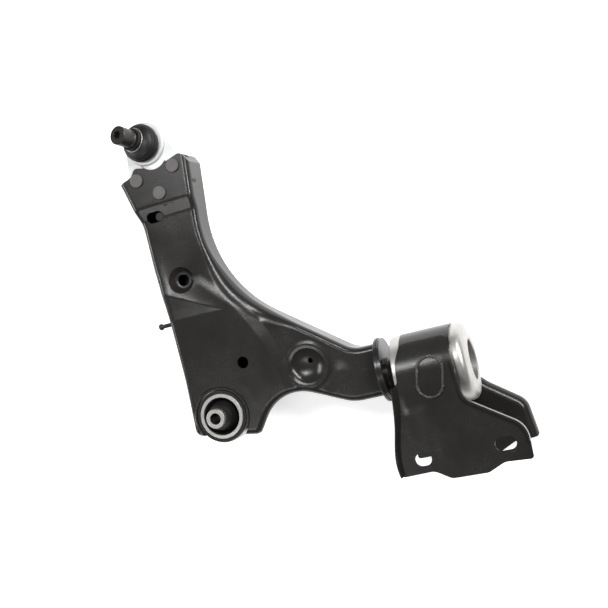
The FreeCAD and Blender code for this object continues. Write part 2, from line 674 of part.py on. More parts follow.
def flare_band(inner_points, height, width):
    """Closed wire of a band whose right side runs through the points."""
    inner = [Vector(x, y, height) for x, y in inner_points]
    outer = [point - X_AXIS * width for point in inner]
    edges = []
    for side in (inner, outer):
        curve = Part.BSplineCurve()
        curve.interpolate(side)
        edges.append(curve.toShape())
    ends = [Part.LineSegment(inner[end], outer[end]).toShape() for end in (0, -1)]
    return Part.Wire([edges[0], ends[1], edges[1], ends[0]])


def front_left_flare():
    """Tall lip along the front plate's left edge, splayed outward and turned to the stud side."""
    foot = [(209.5, -8), (209, -22), (205.2, -42), (198.6, -68), (196.2, -98)]
    tip = [(205, -8), (203.4, -27), (199.2, -51), (193.4, -76), (194, -99.5)]
    low_z = FRONT_PLATE_R - SHEET
    root = Part.Face(flare_band(foot, low_z, SHEET)).extrude(Vector(0, 0, SHEET))
    rise = Part.makeLoft([flare_band(foot, FRONT_PLATE_R, SHEET),
                          flare_band(tip, FRONT_PLATE_R + FLARE_HEIGHT, FLARE_TIP_WIDTH)], True, True)
    return root.fuse(rise)


def bracket_back_shell():
    """Inner strap: starts under the front plate, wraps the bush and runs down behind it."""
    shell = strap(BUSH_R + LEG_GAP, 28, 180, SHEET)
    shell = shell.common(prism(back_outline(), -60, 60))
    shell = shell.cut(disc(LEFT_RING_R + LEG_GAP, BUSH_START_X - 5, BAND_START_X - 0.2, ORIGIN, X_AXIS))
    shell = shell.cut(roll_reach()).fuse(back_rolled_edge())
    for index in range(2):
        shell = shell.cut(bolt_slot(index, 0, -60, 0))
    return shell


def roll_reach():
    """Region right of the bush in which the back leg's edge is rolled."""
    return Part.makeBox(80, 90, 60, Vector(279, -115, -80))


def back_rolled_edge():
    """Right part of the back leg, its edge rolled over away from the stud side."""
    foot_x, foot_y = ROLL_FOOT[:2]
    shoulder_x, shoulder_y = ROLL_SHOULDER[:2]
    run_on = (foot_x + (foot_x - shoulder_x), foot_y + (foot_y - shoulder_y), 0)
    plan = rounded_outline([
        (240, run_on[1], 0), run_on, ROLL_SHOULDER, ROLL_TOP, (BAND_END_X, -13, 0), (240, -13, 0)])
    low_z = -BACK_SHELL_R - ROLL_DEPTH

    def rolled_block(inset, top_z, low, radius):
        wire = plan.makeOffset2D(-inset) if inset else plan
        block = prism(wire, low, top_z)

        def right_edge(edge):
            middle = edge.valueAt((edge.FirstParameter + edge.LastParameter) / 2)
            flat = edge.BoundBox.ZMin > top_z - 0.01
            return flat and middle.x > BAND_END_X - inset and middle.y > run_on[1] + inset + 1

        return rounded(block, radius, right_edge)

    outer = rolled_block(0, -BUSH_R - LEG_GAP, low_z, ROLL_R)
    inner = rolled_block(SHEET, -BACK_SHELL_R, low_z - 1, ROLL_R - SHEET)
    trim = prism(back_outline(), low_z - 1, 0)
    return outer.cut(inner).common(roll_reach()).common(trim)


def stadium_upright(half_width, half_height, centre_x, centre_y):
    """Closed stadium outline, its length along Y."""
    almost = half_width * 0.999
    return rounded_outline([
        (centre_x - half_width, centre_y - half_height, almost),
        (centre_x + half_width, centre_y - half_height, almost),
        (centre_x + half_width, centre_y + half_height, almost),
        (centre_x - half_width, centre_y + half_height, almost),
    ])


def bracket_slot_weld():
    """Oval weld bead lying on the front plate, where it is joined to the back shell."""
    centre_x, centre_y, half_width, half_height, bead = WELD_AT.x, WELD_AT.y, 13.2, 20.7, 1.8
    outer = stadium_upright(half_width + bead, half_height + bead, centre_x, centre_y)
    inner = stadium_upright(half_width - bead, half_height - bead, centre_x, centre_y)
    column = prism(outer, 0, 60).cut(prism(inner, -1, 61))
    column.rotate(WELD_AT, Z_AXIS, WELD_TURN_DEG)
    bead_r = FRONT_PLATE_R + 1.3
    over_bush = disc(bead_r, 220, 270, ORIGIN, X_AXIS, bore=FRONT_PLATE_R + 0.02)
    over_bush = over_bush.cut(Part.makeBox(60, 60, 120, Vector(215, -60, -60)))
    over_leg = Part.makeBox(50, 40, bead_r - FRONT_PLATE_R - 0.02,
                            Vector(220, -40, FRONT_PLATE_R + 0.02))
    return column.common(over_bush.fuse(over_leg))


PARTS = {
    "arm_upper_shell": upper_shell,
    "arm_lower_shell": lower_shell,
    "keyhole_plug": keyhole_plug,
    "locating_pin": locating_pin,
    "corner_bush_eye": corner_eye,
    "corner_bush_outer_sleeve": corner_outer_sleeve,
    "corner_bush_end_rings": corner_end_rings,
    "corner_bush_rubber": corner_rubber,
    "corner_bush_inner_sleeve": corner_inner_sleeve,
    "ball_joint_housing": ball_housing,
    "ball_joint_seat": ball_seat,
    "ball_joint_end_cover": end_cover,
    "ball_joint_rivets": rivets,
    "ball_stud": ball_stud,
    "ball_boot": ball_boot,
    "boot_lower_clip": boot_lower_clip,
    "boot_upper_clip": boot_upper_clip,
    "tail_flange": tail_flange,
    "rear_bush_spigot": rear_spigot,
    "rear_bush_inner_sleeve": rear_inner_sleeve,
    "rear_bush_rubber": rear_rubber,
    "rear_bush_outer_shell": rear_outer_shell,
    "rear_bush_left_ring": rear_left_ring,
    "rear_bush_end_cap": rear_end_cap,
    "bracket_front_plate": bracket_front_plate,
    "bracket_back_shell": bracket_back_shell,
    "bracket_slot_weld": bracket_slot_weld,
}

os.makedirs("parts", exist_ok=True)
for node, make in PARTS.items():
    shape = make()
    shape.exportStep("parts/" + node + ".step")
    print(node, shape.isValid(), len(shape.Solids), round(shape.Volume))
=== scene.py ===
import json
import math

import bmesh
import bpy
from mathutils import Matrix, Vector, noise

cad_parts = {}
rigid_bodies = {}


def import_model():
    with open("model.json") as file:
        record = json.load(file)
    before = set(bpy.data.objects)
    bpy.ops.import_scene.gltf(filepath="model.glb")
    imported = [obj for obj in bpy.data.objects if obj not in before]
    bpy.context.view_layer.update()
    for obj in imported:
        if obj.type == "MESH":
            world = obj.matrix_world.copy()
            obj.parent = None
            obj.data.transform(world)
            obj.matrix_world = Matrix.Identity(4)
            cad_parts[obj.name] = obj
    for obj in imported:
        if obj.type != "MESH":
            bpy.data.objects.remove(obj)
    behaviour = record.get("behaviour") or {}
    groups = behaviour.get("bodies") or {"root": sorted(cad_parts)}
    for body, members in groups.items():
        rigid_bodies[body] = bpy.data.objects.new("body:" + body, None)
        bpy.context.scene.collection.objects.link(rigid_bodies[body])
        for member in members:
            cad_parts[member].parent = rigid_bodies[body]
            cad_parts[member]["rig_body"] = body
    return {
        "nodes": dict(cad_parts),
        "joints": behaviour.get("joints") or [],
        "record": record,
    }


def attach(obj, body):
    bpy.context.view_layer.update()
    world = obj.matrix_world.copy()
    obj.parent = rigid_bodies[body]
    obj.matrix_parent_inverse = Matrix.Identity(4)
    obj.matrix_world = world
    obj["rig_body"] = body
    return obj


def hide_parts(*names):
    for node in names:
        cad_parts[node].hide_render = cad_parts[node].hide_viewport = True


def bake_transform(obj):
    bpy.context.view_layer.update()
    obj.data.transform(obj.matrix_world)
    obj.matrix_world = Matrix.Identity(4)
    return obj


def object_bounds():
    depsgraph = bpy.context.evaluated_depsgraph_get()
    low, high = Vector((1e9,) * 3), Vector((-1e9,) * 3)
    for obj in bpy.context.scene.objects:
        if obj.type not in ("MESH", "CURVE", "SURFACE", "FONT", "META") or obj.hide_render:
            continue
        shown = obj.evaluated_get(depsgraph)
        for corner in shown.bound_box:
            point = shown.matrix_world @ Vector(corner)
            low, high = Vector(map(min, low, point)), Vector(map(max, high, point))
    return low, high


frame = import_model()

# Front lower control arm in metres, in the frame's axes: origin in the corner bush, +Z along its bore
# to the stud side, +X along the rear bush, +Y towards the ball joint. Shapes are written in
# millimetres and scaled by MM.
NODES = frame["nodes"]
MM = 0.001
CAD_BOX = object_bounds()
STUD_SPIN = next(joint for joint in frame["joints"] if joint["name"] == "stud_spin")
BALL = Vector(STUD_SPIN["pos_m"]) / MM
STUD_DIR = Vector(STUD_SPIN["axis"]).normalized()


# ---- material graphs ---------------------------------------------------------------------------
MIDDLE_OF_NOISE = (0.3, 0.7)        # most of a noise output lies between these


class Graph:
    """A material's node tree with short ways to add and join nodes."""

    def __init__(self, name):
        self.material = bpy.data.materials.new(name)
        self.material.use_nodes = True
        self.tree = self.material.node_tree
        self.shader = self.tree.nodes["Principled BSDF"]
        self.place = self.add("ShaderNodeTexCoord").outputs["Object"]

    def add(self, kind, **settings):
        """New node of a kind, with its settings."""
        node = self.tree.nodes.new(kind)
        for key, value in settings.items():
            setattr(node, key, value)
        return node

    def join(self, output, target):
        self.tree.links.new(output, target)

    def noise(self, scale, detail=3.0, roughness=0.55, stretch=None):
        """Fractal noise with features about 1/scale metres across, stretch times finer on each axis."""
        node = self.add("ShaderNodeTexNoise")
        node.inputs["Scale"].default_value = scale
        node.inputs["Detail"].default_value = detail
        node.inputs["Roughness"].default_value = roughness
        place = self.place
        if stretch:
            mapping = self.add("ShaderNodeMapping")
            mapping.inputs["Scale"].default_value = stretch
            self.join(self.place, mapping.inputs["Vector"])
            place = mapping.outputs["Vector"]
        self.join(place, node.inputs["Vector"])
        return node.outputs["Fac"]

    def cells(self, scale):
        """Distance to the nearest of scattered points about 1/scale metres apart."""
        node = self.add("ShaderNodeTexVoronoi")
        node.inputs["Scale"].default_value = scale
        self.join(self.place, node.inputs["Vector"])
        return node.outputs["Distance"]

    def spread(self, value, low, high, new_low=0.0, new_high=1.0):
        """Clamped linear remap."""
        node = self.add("ShaderNodeMapRange")
        self.join(value, node.inputs["Value"])
        for key, number in zip(("From Min", "From Max", "To Min", "To Max"), (low, high, new_low, new_high)):
            node.inputs[key].default_value = number
        return node.outputs["Result"]

    def math(self, operation, first, second=0.0):
        """One arithmetic step; each value is a number or another output."""
        node = self.add("ShaderNodeMath", operation=operation)
        for socket, value in zip(node.inputs, (first, second)):
            if isinstance(value, (int, float)):
                socket.default_value = value
            else:
                self.join(value, socket)
        return node.outputs[0]

    def mix(self, share, first, second):
        """Colour mix; each colour is a tuple or another output."""
        node = self.add("ShaderNodeMix", data_type="RGBA")
        self.join(share, node.inputs["Factor"])
        for socket, value in ((node.inputs[6], first), (node.inputs[7], second)):
            if isinstance(value, tuple):
                socket.default_value = (*value, 1.0)
            else:
                self.join(value, socket)
        return node.outputs[2]

    def bump(self, height, strength, distance, below=None):
        """Normal bent by a height output, on top of another normal where one is given."""
        node = self.add("ShaderNodeBump")
        node.inputs["Strength"].default_value = strength
        node.inputs["Distance"].default_value = distance
        self.join(height, node.inputs["Height"])
        if below is not None:
            self.join(below, node.inputs["Normal"])
        return node.outputs["Normal"]

    def vary(self, value, low, high):
        """Runs from low to high over the middle part of a noise output."""
        return self.spread(value, *MIDDLE_OF_NOISE, low, high)

    def finish(self, color, roughness, normal, **fixed):
        """Joins the three varying inputs, sets the fixed ones and gives the material."""
        for key, value in (("Base Color", color), ("Roughness", roughness), ("Normal", normal)):
            if value is not None:
                self.join(value, self.shader.inputs[key])
        for key, value in fixed.items():
            self.shader.inputs[key.replace("_", " ").title().replace("Ior", "IOR")].default_value = value
        return self.material


# ---- materials ---------------------------------------------------------------------------------
def black_paint():
    """Satin electro-dipped black: orange peel, dust specks, fine scratches and rubbed patches."""
    deep, thin = (0.010, 0.0094, 0.0087), (0.016, 0.0150, 0.0140)
    bare, grit = (0.13, 0.12, 0.11), (0.24, 0.22, 0.19)
    scratch_strength, dust_strength = 0.30, 0.22
    g = Graph("satin_black_paint")
    cloud = g.noise(scale=22, detail=4)
    fine = g.noise(scale=900, detail=2)
    peel = g.noise(scale=420, detail=2, roughness=0.5)
    dust = g.spread(g.cells(scale=260), low=0.0, high=0.045, new_low=1.0, new_high=0.0)
    streaks = g.noise(scale=60, detail=2, roughness=0.5, stretch=(1.0, 14.0, 1.0))
    scratch = g.spread(streaks, low=0.735, high=0.75)
    base = g.mix(cloud, deep, thin)
    worn = g.mix(g.math("MULTIPLY", scratch, scratch_strength), base, bare)
    color = g.mix(g.math("MULTIPLY", dust, dust_strength), worn, grit)
    rough = g.math("ADD", g.vary(cloud, 0.19, 0.27), g.vary(fine, -0.02, 0.04))
    normal = g.bump(peel, strength=0.10, distance=0.0005)
    normal = g.bump(fine, strength=0.05, distance=0.0003, below=normal)
    return g.finish(color, rough, normal, specular_ior_level=0.34)


def weld_metal():
    """Painted weld bead: coarse ripples, with bright specks that are painted glints."""
    deep, thin, painted_glint = (0.008, 0.0075, 0.007), (0.022, 0.02, 0.018), (0.42, 0.36, 0.28)
    painted_glint_strength = 0.8
    g = Graph("weld_bead_paint")
    coarse = g.noise(scale=420, detail=3, roughness=0.6)
    # Painted glints: where this noise peaks, the bead gets bright specks of painted highlight.
    bare = g.spread(g.noise(scale=330, detail=3, roughness=0.6), low=0.66, high=0.72)
    color = g.mix(g.math("MULTIPLY", bare, painted_glint_strength), g.mix(coarse, deep, thin), painted_glint)
    normal = g.bump(coarse, strength=0.7, distance=0.0012)
    return g.finish(color, g.vary(coarse, 0.22, 0.5), normal, specular_ior_level=0.6)


def zinc_steel():
    """Light turned steel with soft clouding and a few brown rust specks."""
    dull, clean, rust = (0.33, 0.32, 0.305), (0.47, 0.46, 0.445), (0.20, 0.055, 0.03)
    g = Graph("zinc_steel")
    cloud = g.noise(scale=60, detail=4)
    turned = g.noise(scale=300, detail=3, roughness=0.6, stretch=(6.0, 0.6, 0.6))
    speck = g.spread(g.cells(scale=120), low=0.0, high=0.09, new_low=1.0, new_high=0.0)
    where = g.spread(g.noise(scale=35, detail=2), low=0.58, high=0.66)
    color = g.mix(g.math("MULTIPLY", speck, where), g.mix(cloud, dull, clean), rust)
    normal = g.bump(turned, strength=0.12, distance=0.0002)
    return g.finish(color, g.vary(turned, 0.30, 0.46), normal, metallic=0.85)


def zinc_sleeve():
    """Light turned steel whose bore about the Z axis is painted near black as shade."""
    painted_bore_shade, dull, clean = (0.012, 0.011, 0.010), (0.28, 0.27, 0.26), (0.42, 0.41, 0.395)
    bore_end, face_start = 6.30 * MM, 6.45 * MM
    g = Graph("zinc_sleeve")
    axes = g.add("ShaderNodeSeparateXYZ")
    g.join(g.place, axes.inputs[0])
    squares = [g.math("POWER", axes.outputs[axis], 2.0) for axis in (0, 1)]
    radius = g.math("SQRT", g.math("ADD", *squares))
    outside = g.spread(radius, low=bore_end, high=face_start)
    cloud = g.noise(scale=90, detail=4)
    turned = g.noise(scale=300, detail=3, roughness=0.6)
    # Painted shade: inside bore_end the colour is near black and the metal look is turned off, standing in
    # for the shade in the hole.
    color = g.mix(outside, painted_bore_shade, g.mix(cloud, dull, clean))
    metal = g.spread(outside, low=0.0, high=1.0, new_low=0.0, new_high=0.85)
    g.join(metal, g.shader.inputs["Metallic"])
    return g.finish(color, g.vary(turned, 0.30, 0.46), g.bump(turned, strength=0.12, distance=0.0002))


def bright_zinc():
    """Zinc-plated forging: light, slightly grainy."""
    dull, clean = (0.48, 0.495, 0.49), (0.62, 0.635, 0.63)
    g = Graph("bright_zinc")
    color = g.mix(g.noise(scale=70, detail=4), dull, clean)
    grain = g.noise(scale=700, detail=3)
    normal = g.bump(grain, strength=0.2, distance=0.0003)
    return g.finish(color, g.vary(grain, 0.36, 0.5), normal, metallic=0.4)


def rivet_steel():
    """Matt grey upset steel."""
    dark, light = (0.062, 0.060, 0.058), (0.110, 0.106, 0.102)
    g = Graph("rivet_steel")
    color = g.mix(g.noise(scale=180, detail=4), dark, light)
    grain = g.noise(scale=1300, detail=3)
    normal = g.bump(grain, strength=0.25, distance=0.0003)
    return g.finish(color, g.vary(grain, 0.45, 0.62), normal, metallic=0.3)


def dark_steel():
    """Phosphated steel with a warm tint on handled places."""
    phosphate, handled = (0.012, 0.0115, 0.0115), (0.038, 0.032, 0.029)
    g = Graph("dark_steel")
    color = g.mix(g.noise(scale=130, detail=4), phosphate, handled)
    grain = g.noise(scale=1500, detail=3)
    normal = g.bump(grain, strength=0.25, distance=0.0003)
    return g.finish(color, g.vary(grain, 0.32, 0.5), normal, metallic=0.55)


def black_rubber():
    """Moulded rubber with a faint bloom."""
    clean, bloom = (0.006, 0.006, 0.006), (0.013, 0.0127, 0.0123)
    g = Graph("black_rubber")
    cloud = g.noise(scale=90, detail=4)
    grain = g.noise(scale=1200, detail=3)
    normal = g.bump(grain, strength=0.2, distance=0.0003)
    return g.finish(g.mix(cloud, clean, bloom), g.vary(cloud, 0.34, 0.5), normal,
                    specular_ior_level=0.24)


def seat_plastic():
    """Off-white bearing plastic."""
    shaded, clean = (0.58, 0.56, 0.48), (0.68, 0.66, 0.58)
    g = Graph("seat_plastic")
    cloud = g.noise(scale=120, detail=3)
    normal = g.bump(cloud, strength=0.1, distance=0.0003)
    return g.finish(g.mix(cloud, shaded, clean), g.vary(cloud, 0.4, 0.55), normal)


FINISHES = {
    "satin_black_paint": black_paint(),
    "zinc_steel": zinc_steel(),
    "bright_zinc": bright_zinc(),
    "rivet_steel": rivet_steel(),
    "dark_steel": dark_steel(),
    "black_rubber": black_rubber(),
    "seat_plastic": seat_plastic(),
}
WELD_FINISH = weld_metal()
SLEEVE_FINISH = zinc_sleeve()


def dress(piece, slot_name):
    """Gives a piece the one finish of a record slot."""
    piece.data.materials.clear()
    piece.data.materials.append(FINISHES[slot_name])


# ---- finer copies of the pressed parts ----------------------------------------------------------
# Places on the arm are (x, y) in mm. Each fade is a pair: nothing at the first value, all at the second.
BEND_R, SOFT_BEND_R = 7.0, 16.0                 # bend of the top face into its wall, and where it is soft
SOFT_BEND_Y, SOFT_BEND_X = (190, 140), (110, 74)                # fades of the soft stretch
NECK_CENTRE, NECK_RADIUS = (166.3, 212.5), 139.0                # large inside curve of the arm
STRAIGHT_FROM, STRAIGHT_NORMAL = (82.4, 101.6), (0.6034, 0.7975)        # edge that follows the curve
CREST_START, CREST_END, TOE_Y = (-26.5, 145.5), (35.2, 113.5), 116.0    # ridge below the dish
RIDGE_DROP, RIDGE_FADE = 3.6, 15.0
CREASE_HEAD, CREASE_FOOT, CREASE_BOW = (50.7, 103.8), (78.7, 25.7), 17.0    # where the valley starts
VALLEY_DEPTH, VALLEY_WIDTH, VALLEY_FADE = 2.3, 14.0, 13.0
FLANK_LINE, FLANK_DEPTH, FLANK_WIDTH = ((7.6, 150), (38, 118)), 1.3, 14.0
TAIL_LINE, TAIL_DEPTH = ((120, 0), (146, 20)), 1.4
DISH_AT, DISH_RING_R = (-9, 159), 8.6
DIMPLE_AT, DIMPLE_RING_R = (111.5, 33.5), 23.0
BESIDE_DISH, LEFT_EDGE = (3, 160), (-31, 162)
ARM_WAVES = ((0.22, 38, 1.7), (0.10, 14, 5.2))  # height and size in mm, seed
ARM_TOP_Z, ARM_WALL_Z = (7, 14), (-15, 8)       # fades up the wall, of the relief and of the soft bend
BELOW_PAD_Y, BEFORE_TAIL_X = (262, 250), (186, 176)
OFF_CORNER_BUSH_R = (36, 46)

BOLT_HOLES, OFF_HOLE_R = ((218, -86), (304, -86)), (11, 18)     # of the front plate
PLATE_TOP_Z, PLATE_LOW_Y, PLATE_LEFT_X = (30, 41), (-104, -92), (208, 216)
PLATE_WAVES = ((0.45, 30, 2.3), (0.18, 12, 8.1))
STEP_LINE, STEP_HEIGHT = ((212, -36), (250, -30)), 0.8          # faint step below the bush
DEEPEST_DENT = -0.05

SEAM_GAP = 2e-6             # metres between vertices that belong together
MOST_CUTS = 7


def smoothstep(low, high, value):
    """Smooth run from 0 at low to 1 at high; low may be the larger."""
    share = min(1.0, max(0.0, (value - low) / (high - low)))
    return share * share * (3 - 2 * share)


def along_and_aside(point, start, end):
    """Share along the line from start to end, and signed distance to its left, in plan."""
    run_x, run_y = end[0] - start[0], end[1] - start[1]
    length = math.hypot(run_x, run_y)
    off_x, off_y = point[0] - start[0], point[1] - start[1]
    return ((off_x * run_x + off_y * run_y) / length ** 2,
            (run_x * off_y - run_y * off_x) / length)


def ripple(x, y, size, seed):
    """Smooth seeded waviness between about -1 and 1, its waves about size across."""
    return noise.noise(Vector((x / size, y / size, seed)))


def waves(x, y, layers):
    """Sum of ripples given as (height, size, seed)."""
    return sum(height * ripple(x, y, size, seed) for height, size, seed in layers)


def outline_distance(x, y):
    """Distance in mm from the arm's large inside curve and the straight edge that follows it."""
    if x < STRAIGHT_FROM[0]:
        return math.hypot(x - NECK_CENTRE[0], y - NECK_CENTRE[1]) - NECK_RADIUS
    return -((x - STRAIGHT_FROM[0]) * STRAIGHT_NORMAL[0] + (y - STRAIGHT_FROM[1]) * STRAIGHT_NORMAL[1])


def soft_bend(x, y):
    """How much a bend rolled to a large radius lies below the tight bend, in mm."""
    grown = smoothstep(*SOFT_BEND_Y, y) * smoothstep(*SOFT_BEND_X, x)
    wide = BEND_R + (SOFT_BEND_R - BEND_R) * grown
    inward = max(0.0, outline_distance(x, y))

    def fall(radius):
        off = max(0.0, radius - inward)
        return radius - math.sqrt(radius ** 2 - off ** 2)

    return fall(wide) - fall(BEND_R)


def stepped_ridge(x, y):
    """Raised upper surface that ends in a crest and steps down to the lower plane."""
    along = (x - CREST_START[0]) / (CREST_END[0] - CREST_START[0])
    drop = RIDGE_DROP * max(0.0, smoothstep(-0.35, 0.0, along) * (1 - max(0.0, along)))
    crest_y = CREST_START[1] + (CREST_END[1] - CREST_START[1]) * along
    if y > crest_y:
        return drop * math.exp(-(y - crest_y) / RIDGE_FADE)
    if y > TOE_Y:
        return drop * (y - TOE_Y) / (crest_y - TOE_Y)
    return 0.0


def valley(x, y):
    """Hollow that starts at a soft crease right of the lower hole and runs towards the tail."""
    rise = (y - CREASE_FOOT[1]) / (CREASE_HEAD[1] - CREASE_FOOT[1])
    crease_x = CREASE_FOOT[0] + (CREASE_HEAD[0] - CREASE_FOOT[0]) * rise + CREASE_BOW * rise * (1 - rise)
    right = x - crease_x
    ends = smoothstep(-0.25, 0.1, rise) * (1 - smoothstep(0.95, 1.35, rise))
    if right < VALLEY_WIDTH:
        depth = right / VALLEY_WIDTH
    else:
        depth = math.exp(-((right - VALLEY_WIDTH) / VALLEY_FADE) ** 2)
    return VALLEY_DEPTH * ends * max(0.0, depth)


def dish_flank(x, y):
    """Surface that falls away on the dish's lower right, down to the inner bend."""
    share, aside = along_and_aside((x, y), *FLANK_LINE)
    ends = smoothstep(-0.5, 0.1, share) * (1 - smoothstep(0.9, 1.4, share))
    return FLANK_DEPTH * smoothstep(0, FLANK_WIDTH, aside) * ends


def tail_hollow(x, y):
    """Shallow hollow across the arm where the tail begins."""
    share, aside = along_and_aside((x, y), *TAIL_LINE)
    across = smoothstep(-12, 1, aside) * (1 - smoothstep(1, 14, aside))
    return TAIL_DEPTH * across * (1 - smoothstep(0.9, 1.4, share))


def mound(x, y, centre, half_widths):
    """Soft bump: 1 at its centre, 0 away from it."""
    return math.exp(-((x - centre[0]) / half_widths[0]) ** 2 - ((y - centre[1]) / half_widths[1]) ** 2)


def raised_ring(x, y, centre, radius, width):
    """Soft raised ring: 1 on its crest, 0 away from it."""
    return math.exp(-((math.hypot(x - centre[0], y - centre[1]) - radius) / width) ** 2)


def arm_relief(x, y):
    """Height in mm added to the arm's top: ridge, valley, flank, rings round the recesses, press marks."""
    height = waves(x, y, ARM_WAVES) + stepped_ridge(x, y) - valley(x, y)
    height -= dish_flank(x, y) + tail_hollow(x, y)
    height -= 1.2 * mound(x, y, BESIDE_DISH, (8, 8))
    height += 0.9 * mound(x, y, LEFT_EDGE, (6, 16))
    height += 0.9 * raised_ring(x, y, DISH_AT, DISH_RING_R, 1.5)
    height += 0.9 * raised_ring(x, y, DIMPLE_AT, DIMPLE_RING_R, 3.0)
    return height


def fine_copy(node, name, edge_mm, angle_deg=32):
    """Copy of a CAD node with welded seams, no edge longer than edge_mm and crisp marked corners."""
    source = NODES[node]
    mesh = source.data.copy()
    mesh.name = name
    bm = bmesh.new()
    bm.from_mesh(mesh)
    bmesh.ops.remove_doubles(bm, verts=bm.verts, dist=SEAM_GAP)
    for _ in range(MOST_CUTS):
        long_edges = [edge for edge in bm.edges if edge.calc_length() > edge_mm * MM]
        if not long_edges:
            break
        bmesh.ops.subdivide_edges(bm, edges=long_edges, cuts=1)
        bmesh.ops.triangulate(bm, faces=[face for face in bm.faces if len(face.verts) > 3])
    for edge in bm.edges:
        edge.smooth = not edge.is_manifold or edge.calc_face_angle(0) < math.radians(angle_deg)
    for face in bm.faces:
        face.smooth = True
    bm.to_mesh(mesh)
    bm.free()
    if "custom_normal" in mesh.attributes:
        mesh.attributes.remove(mesh.attributes["custom_normal"])
    copy = bpy.data.objects.new(name, mesh)
    bpy.context.scene.collection.objects.link(copy)
    return copy


def stand_for(piece, node, body, slot_name):
    """Shows piece in place of a CAD node."""
    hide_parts(node)
    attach(piece, body)
    dress(piece, slot_name)


def body_of(node):
    """Body that a CAD node rides on."""
    return NODES[node]["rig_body"]


def shape_arm_top():
    """The arm's top pressing with its relief and its soft inside bend."""
    arm = fine_copy("arm_upper_shell", "arm_upper_pressing", edge_mm=2.4)
    for vertex in arm.data.vertices:
        x, y, z = (value / MM for value in vertex.co)
        before_tail = smoothstep(*BEFORE_TAIL_X, x)
        inside = smoothstep(*BELOW_PAD_Y, y) * before_tail * smoothstep(*OFF_CORNER_BUSH_R, math.hypot(x, y))
        lift = arm_relief(x, y) * smoothstep(*ARM_TOP_Z, z) * inside
        sink = soft_bend(x, y) * smoothstep(*ARM_WALL_Z, z) * before_tail
        vertex.co.z += (lift - sink) * MM
    stand_for(arm, "arm_upper_shell", body_of("arm_upper_shell"), "satin_black_paint")


def plate_relief(x, y):
    """Height in mm of the soft dents and the faint step low on the bracket's front plate."""
    share, aside = along_and_aside((x, y), *STEP_LINE)
    across = smoothstep(-5, 5, aside) * (1 - smoothstep(5, 30, aside))
    step = STEP_HEIGHT * across * (1 - smoothstep(0.6, 1.3, share))
    return waves(x, y, PLATE_WAVES) + step


def shape_front_plate():
    """The bracket's front plate with its dents, level round the bolt slots."""
    plate = fine_copy("bracket_front_plate", "bracket_front_pressing", edge_mm=3.5)
    for vertex in plate.data.vertices:
        x, y, z = (value / MM for value in vertex.co)
        near_hole = min(math.hypot(x - hole_x, y - hole_y) for hole_x, hole_y in BOLT_HOLES)
        share = smoothstep(*PLATE_TOP_Z, z) * smoothstep(*PLATE_LOW_Y, y) * smoothstep(*PLATE_LEFT_X, x)
        share *= smoothstep(*OFF_HOLE_R, near_hole)
        vertex.co.z += max(DEEPEST_DENT, plate_relief(x, y) * share) * MM
    stand_for(plate, "bracket_front_plate", body_of("bracket_front_plate"), "satin_black_paint")


# ---- weld beads --------------------------------------------------------------------------------
BEAD_SIDES = 10
BEAD_ROUGHNESS = 0.5        # share of the radius by which a bead swells and thins
BEAD_GRAIN = 0.45           # how fast that changes from one vertex to the next
OVAL_AT, OVAL_TURN_DEG = Vector((245.5, -5.0, 0)), -12.5
OVAL_HALF_WIDTH, OVAL_HALF_HEIGHT, OVAL_BEAD_R, OVAL_SINK = 13.4, 20.9, 1.7, 0.3
FRONT_PLATE_R = 45.7        # outside of the front plate over the rear bush
SEAM_AT = Vector((187.2, 10.0, 1.0))
SEAM_HALF_WIDTH, SEAM_HALF_HEIGHT, SEAM_BEAD_R = 27.435, 16.2, 1.5
SEAM_START_DEG, SEAM_TURN_DEG = -200, 220


def bead(name, path, radius, body, seed):
    """Rough welded bead swept along a closed or open list of points, in mm."""
    closed = (path[0] - path[-1]).length < 1e-6
    points = path[:-1] if closed else path
    count, around = len(points), BEAD_SIDES
    bm = bmesh.new()
    rings = []
    for index, point in enumerate(points):
        ahead = points[(index + 1) % count] if closed or index + 1 < count else point
        behind = points[index - 1] if closed or index else point
        forward = (ahead - behind).normalized()
        side = forward.orthogonal().normalized()
        other = forward.cross(side)
        ring = []
        for step in range(around):
            angle = 2 * math.pi * step / around
            grain = noise.noise(Vector((index * BEAD_GRAIN, step * BEAD_GRAIN, seed)))
            rough = 1 + BEAD_ROUGHNESS * grain
            offset = (side * math.cos(angle) + other * math.sin(angle)) * radius * rough
            ring.append(bm.verts.new((point + offset) * MM))
        rings.append(ring)
    last = count if closed else count - 1
    for index in range(last):
        ring, following = rings[index], rings[(index + 1) % count]
        for step in range(around):
            near, far = step, (step + 1) % around
            bm.faces.new((ring[near], ring[far], following[far], following[near]))
    if not closed:
        bm.faces.new(rings[0][::-1])
        bm.faces.new(rings[-1])
    bmesh.ops.recalc_face_normals(bm, faces=bm.faces)
    for face in bm.faces:
        face.smooth = True
    mesh = bpy.data.meshes.new(name)
    bm.to_mesh(mesh)
    bm.free()
    piece = bpy.data.objects.new(name, mesh)
    bpy.context.scene.collection.objects.link(piece)
    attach(piece, body)
    mesh.materials.append(WELD_FINISH)
    return piece


def oval_weld():
    """Bead round the oval where the front plate is welded to the back shell."""
    straight = OVAL_HALF_HEIGHT - OVAL_HALF_WIDTH
    lean = Matrix.Rotation(math.radians(OVAL_TURN_DEG), 3, "Z")
    path = []
    steps = 120
    for step in range(steps):
        angle = 2 * math.pi * step / steps
        flat = Vector((math.cos(angle), math.sin(angle), 0)) * OVAL_HALF_WIDTH
        flat.y += math.copysign(straight, math.sin(angle))
        place = OVAL_AT + lean @ flat
        place.z = FRONT_PLATE_R if place.y < 0 else math.sqrt(FRONT_PLATE_R ** 2 - place.y ** 2)
        path.append(place - Vector((0, 0, OVAL_SINK)))
    path.append(path[0].copy())
    piece = bead("oval_weld_bead", path, OVAL_BEAD_R, body_of("bracket_slot_weld"), seed=3.1)
    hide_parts("bracket_slot_weld")


